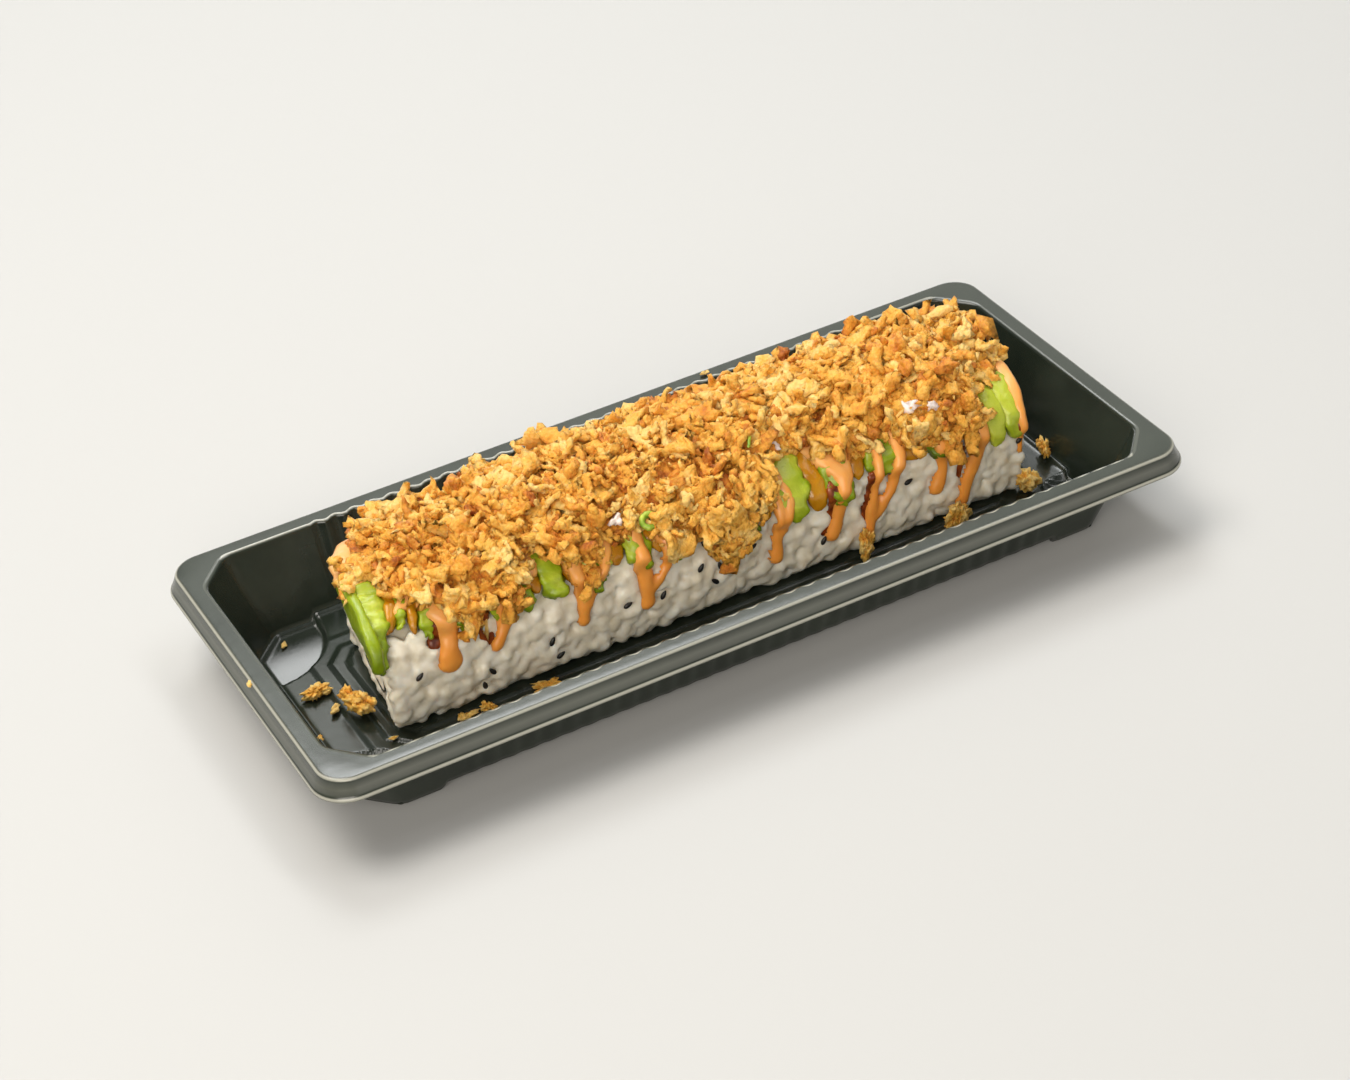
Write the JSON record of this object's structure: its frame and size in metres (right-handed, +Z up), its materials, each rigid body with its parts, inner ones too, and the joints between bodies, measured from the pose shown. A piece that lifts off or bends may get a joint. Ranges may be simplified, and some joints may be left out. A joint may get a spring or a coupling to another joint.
{
  "type": "takeaway sushi tray",
  "caption": "Shallow black plastic food tray with fluted walls, holding an uncut inside-out sushi roll topped with avocado and mango slices and crispy fried onion.",
  "frame": {"origin": "centre of the tray in plan, on the plane its four feet stand on", "axes": "+X along the tray towards the right end, +Y to the back, +Z up"},
  "size_m": [0.2034, 0.091, 0.044],
  "materials": {
    "black_polystyrene": "glossy",
    "cooked_rice": "moist",
    "nori": "satin",
    "fried_onion": "dry",
    "avocado": "moist",
    "mango": "moist"
  },
  "bodies": {
    "root": {"avocado_end_slice": "avocado", "avocado_slice_02": "avocado", "avocado_slice_04": "avocado", "avocado_slice_06": "avocado", "avocado_slice_08": "avocado", "avocado_slice_10": "avocado", "avocado_slice_12": "avocado", "avocado_slice_14": "avocado", "avocado_slice_16": "avocado", "avocado_slice_18": "avocado", "avocado_slice_20": "avocado", "avocado_slice_22": "avocado", "avocado_slice_24": "avocado", "avocado_slice_26": "avocado", "avocado_slice_28": "avocado", "avocado_slice_30": "avocado", "avocado_slice_32": "avocado", "avocado_slice_33": "avocado", "avocado_slice_34": "avocado", "crispy_onion_heap": "fried_onion", "mango_slice_01": "mango", "mango_slice_03": "mango", "mango_slice_05": "mango", "mango_slice_07": "mango", "mango_slice_09": "mango", "mango_slice_11": "mango", "mango_slice_13": "mango", "mango_slice_15": "mango", "mango_slice_17": "mango", "mango_slice_19": "mango", "mango_slice_21": "mango", "mango_slice_23": "mango", "mango_slice_25": "mango", "mango_slice_27": "mango", "mango_slice_29": "mango", "mango_slice_31": "mango", "nori_sheet": "nori", "onion_flake_1": "fried_onion", "onion_flake_2": "fried_onion", "onion_flake_3": "fried_onion", "onion_flake_4": "fried_onion", "onion_flake_5": "fried_onion", "onion_flake_6": "fried_onion", "onion_flake_7": "fried_onion", "onion_flake_8": "fried_onion", "rice_roll": "cooked_rice", "tray": "black_polystyrene"}
  },
  "joints": []
}
